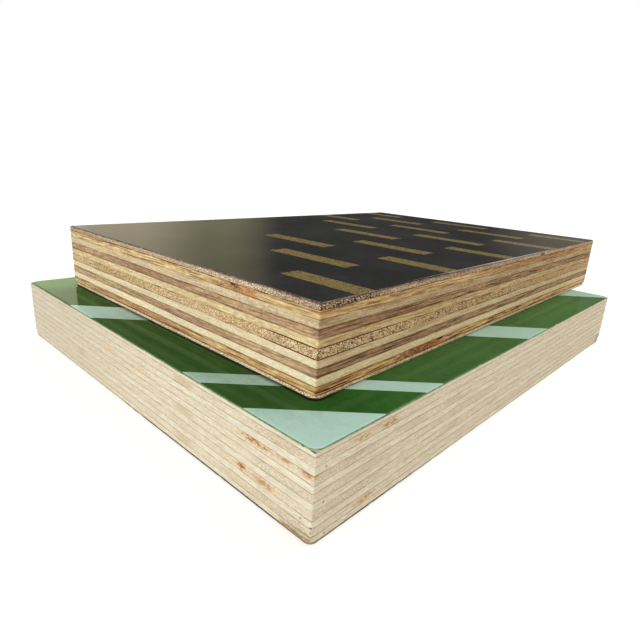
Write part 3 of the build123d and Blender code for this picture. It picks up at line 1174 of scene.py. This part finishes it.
square = ((-1, -1, 0), (1, -1, 0), (1, 1, 0), (-1, 1, 0))
floor_mesh = bpy.data.meshes.new("floor")
floor_mesh.from_pydata([Vector(corner) * FLOOR_SIZE / 2 for corner in square], [], [(0, 1, 2, 3)])
floor = put("floor", floor_mesh)
floor_paint, paint_tree, paint_shader = new_material("floor_paint")
connect(paint_shader, {
    "Base Color": FLOOR_COLOUR,
    "Roughness": 1.0,
    "Specular IOR Level": 0.0,
    "Emission Color": WHITE,
    "Emission Strength": field(paint_tree, "ShaderNodeLightPath", output="Is Camera Ray") * FLOOR_LIFT,
})
floor_mesh.materials.append(floor_paint)
print("floor", FLOOR_SIZE, "m wide")

# %% World and suns
AMBIENT = 0.5
SUNS = {
    "key_light": (1.86, 50, (0.3, -0.82, 0.45)),
    "fill_light": (0.38, 80, (0.83, -0.28, 0.48)),
    "back_light": (0.9, 70, (-0.25, 0.8, 0.5)),
}

world = bpy.data.worlds.new("white_studio")
bpy.context.scene.world = world
world.use_nodes = True
sky = world.node_tree
sky.nodes.clear()
seen = 0.0
for kind in ("Camera", "Glossy", "Transmission"):
    seen = maths("MAXIMUM", field(sky, "ShaderNodeLightPath", output=f"Is {kind} Ray"), seen)
fill, white = (
    field(sky, "ShaderNodeBackground", {"Color": WHITE, "Strength": strength})
    for strength in (AMBIENT, 1.0))
blend = field(sky, "ShaderNodeMixShader", {0: seen, 1: fill, 2: white})
new_node(sky, "ShaderNodeOutputWorld", {"Surface": blend})

for name, (strength, spread, towards) in SUNS.items():
    sun = put(name, bpy.data.lights.new(name, "SUN"))
    sun.data.energy = strength
    sun.data.angle = math.radians(spread)
    sun.rotation_euler = Vector(towards).to_track_quat("Z", "Y").to_euler()
print(len(SUNS), "soft suns")

# %% [markdown]
# Glossy film mirrors whatever stands around it, and at this low angle a white room would turn it milky. A
# photographer puts dark cards round such a thing. Here they are one ring, which only reflections can see:
# it casts no shadow and gives no light to the wood. It has windows in it, each with a direction, two limits
# of how squarely the ring looks that way, a strength and a colour. Two warm ones, one inside the other, and
# a small cool one at the back left give the dark film its sheen, and a weak one straight behind lifts the
# far right corner.

# %% Dark cards for the reflections
RING_RADIUS = 0.9
RING_HEIGHT = 0.55
RING_SIDES = 48
CARD_GREY = 0.09
WARM, COOL, OCHRE = (1.0, 0.87, 0.66), (0.86, 1.0, 0.8), (1.0, 0.88, 0.46)
WINDOWS = (
    ((-0.97, 0.26, 0.0), 0.9, 0.955, 0.7, OCHRE),
    ((-0.97, 0.26, 0.0), 0.965, 1.004, 1.0, WARM),
    ((-0.985, 0.174, 0.0), 0.992, 0.999, 0.9, COOL),
    ((-0.1, 0.995, 0.0), 0.955, 0.995, 0.4, WARM),
)

turns = [2 * math.pi * side / RING_SIDES for side in range(RING_SIDES)]
ring_points = [
    (RING_RADIUS * math.cos(turn), RING_RADIUS * math.sin(turn), height)
    for height in (0.0, RING_HEIGHT) for turn in turns
]
ring_faces = [
    (side, (side + 1) % RING_SIDES, RING_SIDES + (side + 1) % RING_SIDES, RING_SIDES + side)
    for side in range(RING_SIDES)
]
ring_mesh = bpy.data.meshes.new("card_ring")
ring_mesh.from_pydata(ring_points, [], ring_faces)
ring = put("card_ring", ring_mesh)
for kind in ("camera", "diffuse", "transmission", "shadow", "volume_scatter"):
    setattr(ring, f"visible_{kind}", False)

card, card_tree, _ = new_material("dark_card")
card_tree.nodes.clear()
from_middle = object_place(card_tree)
glow = (CARD_GREY,) * 3
for towards, edge, full, strength, colour in WINDOWS:
    squarely = vectors("DOT_PRODUCT", from_middle, Vector(towards) / RING_RADIUS)
    glow = vectors("ADD", vectors("MULTIPLY", colour, band(squarely, edge, full) * strength), glow)
lamp = field(card_tree, "ShaderNodeEmission", {"Color": glow})
new_node(card_tree, "ShaderNodeOutputMaterial", {"Surface": lamp})
ring_mesh.materials.append(card)
print("card ring", RING_RADIUS, "m round the stack, with", len(WINDOWS), "windows")

# %% [markdown]
# The camera was solved from the straight edges of the two sheets: how their lines converge gives the focal
# length, and where the corners fall gives the place. It looks down a little, stands close, and is tilted by
# a few degrees.

# %% Camera
CAMERA_PLACE = Vector((105.48, -124.71, 57.75)) * MM
CAMERA_AZIMUTH, CAMERA_ELEVATION, CAMERA_ROLL = 42.79, 17.57, 3.49
FOCAL_LENGTH = 27.27
SENSOR_WIDTH = 36.0
NEAR_CLIP = 5 * MM

aimed = Matrix.Translation(CAMERA_PLACE)
for degrees, axis in ((CAMERA_AZIMUTH, "Z"), (90 - CAMERA_ELEVATION, "X"), (CAMERA_ROLL, "Z")):
    aimed = aimed @ Matrix.Rotation(math.radians(degrees), 4, axis)
camera = put("camera", bpy.data.cameras.new("camera"))
camera.data.lens = FOCAL_LENGTH
camera.data.sensor_width = SENSOR_WIDTH
camera.data.clip_start = NEAR_CLIP
camera.matrix_world = aimed
bpy.context.scene.camera = camera
bpy.context.scene.view_settings.view_transform = "Standard"
print("camera", [round(value / MM, 1) for value in CAMERA_PLACE], "mm")

# %% [markdown]
